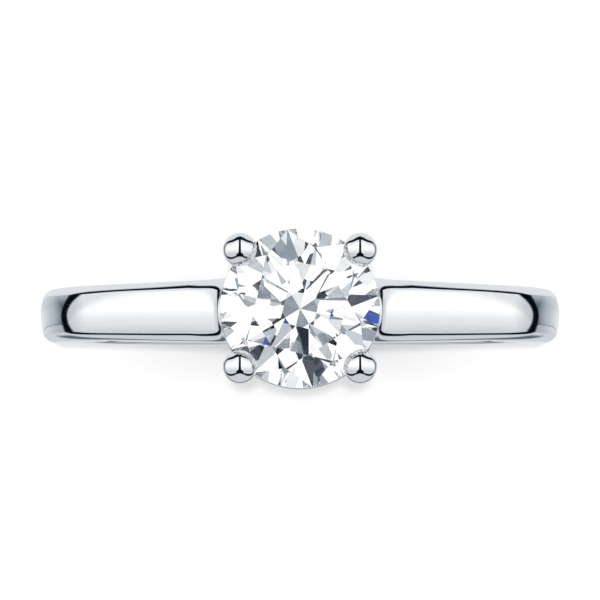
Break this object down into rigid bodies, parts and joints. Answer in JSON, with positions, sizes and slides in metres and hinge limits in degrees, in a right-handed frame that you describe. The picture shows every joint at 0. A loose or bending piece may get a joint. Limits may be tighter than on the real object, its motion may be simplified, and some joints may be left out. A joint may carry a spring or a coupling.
{
  "type": "solitaire engagement ring",
  "caption": "Solitaire engagement ring with a round brilliant-cut stone held by ball-tipped claws in a wire basket on a polished, flat-sided band.",
  "frame": {"origin": "centre of the finger hole, midway along its width", "axes": "+Y along the finger; +Z from the finger hole up through the stone's table; X across the ring"},
  "size_m": [0.02, 0.006, 0.0238],
  "materials": {
    "platinum": "mirror-polished platinum",
    "platinum_solder": "polished platinum solder",
    "diamond": "polished, near-colourless diamond"
  },
  "bodies": {
    "root": {"shank": "platinum", "bridge": "platinum", "bridge_solder": "platinum_solder", "base_rail": "platinum", "gallery_rail": "platinum", "claw_back_left": "platinum", "claw_back_right": "platinum", "claw_front_left": "platinum", "claw_front_right": "platinum", "diamond": "diamond"}
  },
  "joints": []
}
